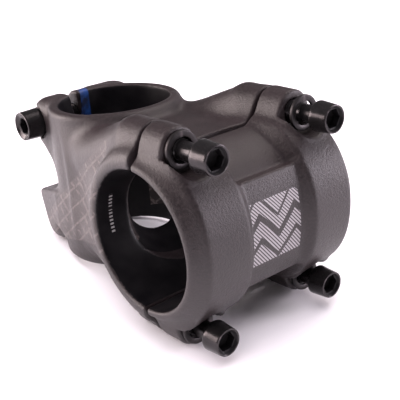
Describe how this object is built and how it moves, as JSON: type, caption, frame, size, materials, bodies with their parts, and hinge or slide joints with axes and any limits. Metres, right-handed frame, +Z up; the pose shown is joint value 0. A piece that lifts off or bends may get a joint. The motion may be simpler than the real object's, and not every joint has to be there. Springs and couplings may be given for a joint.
{
  "type": "bicycle handlebar stem",
  "caption": "Short bicycle stem with a split steerer clamp, a hollow neck and a wide handlebar clamp closed by a screwed faceplate, its tapered socket-head screws partly backed out.",
  "frame": {"origin": "on the steerer axis at the foot of the steerer clamp", "axes": "+Z up along the steerer, -Y forward to the handlebar, X along the handlebar"},
  "size_m": [0.0486, 0.0834, 0.0504],
  "materials": {
    "anodised_body": "satin black anodised over fine blasting",
    "anodised_faceplate": "satin black anodised over fine blasting",
    "screw_black": "glossy black",
    "washer_black": "satin black"
  },
  "bodies": {
    "stem": {"stem_body": "anodised_body"},
    "faceplate": {"faceplate": "anodised_faceplate"},
    "face_washer_upper_left": {"face_washer_upper_left": "washer_black"},
    "face_screw_upper_left": {"face_screw_upper_left": "screw_black"},
    "face_washer_upper_right": {"face_washer_upper_right": "washer_black"},
    "face_screw_upper_right": {"face_screw_upper_right": "screw_black"},
    "face_washer_lower_left": {"face_washer_lower_left": "washer_black"},
    "face_screw_lower_left": {"face_screw_lower_left": "screw_black"},
    "face_washer_lower_right": {"face_washer_lower_right": "washer_black"},
    "face_screw_lower_right": {"face_screw_lower_right": "screw_black"},
    "pinch_washer_upper": {"pinch_washer_upper": "washer_black"},
    "pinch_screw_upper": {"pinch_screw_upper": "screw_black"},
    "pinch_washer_lower": {"pinch_washer_lower": "washer_black"},
    "pinch_screw_lower": {"pinch_screw_lower": "screw_black"}
  },
  "joints": [
    {"name": "faceplate_slide", "type": "slide", "parent": "stem", "child": "faceplate", "axis": [0, -1, 0], "range_m": [0, 0.03]},
    {"name": "face_screw_upper_left_spin", "type": "hinge", "parent": "faceplate", "child": "face_washer_upper_left", "pos_m": [-0.0166, -0.0479, 0.04035], "axis": [0, -1, 0], "range_deg": [-2385.5, 855.5]},
    {"name": "face_screw_upper_left_travel", "type": "slide", "parent": "face_washer_upper_left", "child": "face_screw_upper_left", "axis": [0, -1, 0], "range_m": [-0.0053, 0.0019]},
    {"name": "face_screw_upper_right_spin", "type": "hinge", "parent": "faceplate", "child": "face_washer_upper_right", "pos_m": [0.0166, -0.05, 0.04035], "axis": [0, -1, 0], "range_deg": [-1620.5, 675.5]},
    {"name": "face_screw_upper_right_travel", "type": "slide", "parent": "face_washer_upper_right", "child": "face_screw_upper_right", "axis": [0, -1, 0], "range_m": [-0.0036, 0.0015]},
    {"name": "face_screw_lower_left_spin", "type": "hinge", "parent": "faceplate", "child": "face_washer_lower_left", "pos_m": [-0.0166, -0.0479, -0.00035], "axis": [0, -1, 0], "range_deg": [-2025.5, 1215.5]},
    {"name": "face_screw_lower_left_travel", "type": "slide", "parent": "face_washer_lower_left", "child": "face_screw_lower_left", "axis": [0, -1, 0], "range_m": [-0.0045, 0.0027]},
    {"name": "face_screw_lower_right_spin", "type": "hinge", "parent": "faceplate", "child": "face_washer_lower_right", "pos_m": [0.0166, -0.0485, -0.00035], "axis": [0, -1, 0], "range_deg": [-1530.5, 1440.5]},
    {"name": "face_screw_lower_right_travel", "type": "slide", "parent": "face_washer_lower_right", "child": "face_screw_lower_right", "axis": [0, -1, 0], "range_m": [-0.0034, 0.0032]},
    {"name": "pinch_screw_upper_spin", "type": "hinge", "parent": "stem", "child": "pinch_washer_upper", "pos_m": [-0.0112, 0.0188, 0.0332], "axis": [-1, 0, 0], "range_deg": [0, 3780.5]},
    {"name": "pinch_screw_upper_travel", "type": "slide", "parent": "pinch_washer_upper", "child": "pinch_screw_upper", "axis": [-1, 0, 0], "range_m": [0, 0.0084]},
    {"name": "pinch_screw_lower_spin", "type": "hinge", "parent": "stem", "child": "pinch_washer_lower", "pos_m": [0.0112, 0.0188, 0.0068], "axis": [1, 0, 0], "range_deg": [0, 3780.5]},
    {"name": "pinch_screw_lower_travel", "type": "slide", "parent": "pinch_washer_lower", "child": "pinch_screw_lower", "axis": [1, 0, 0], "range_m": [0, 0.0084]}
  ],
  "couplings": [
    {"joint": "face_screw_upper_left_spin", "follows": "face_screw_upper_left_travel", "rad_per_m": 7854},
    {"joint": "face_screw_upper_right_spin", "follows": "face_screw_upper_right_travel", "rad_per_m": 7854},
    {"joint": "face_screw_lower_left_spin", "follows": "face_screw_lower_left_travel", "rad_per_m": 7854},
    {"joint": "face_screw_lower_right_spin", "follows": "face_screw_lower_right_travel", "rad_per_m": 7854},
    {"joint": "pinch_screw_upper_spin", "follows": "pinch_screw_upper_travel", "rad_per_m": 7854},
    {"joint": "pinch_screw_lower_spin", "follows": "pinch_screw_lower_travel", "rad_per_m": 7854}
  ]
}
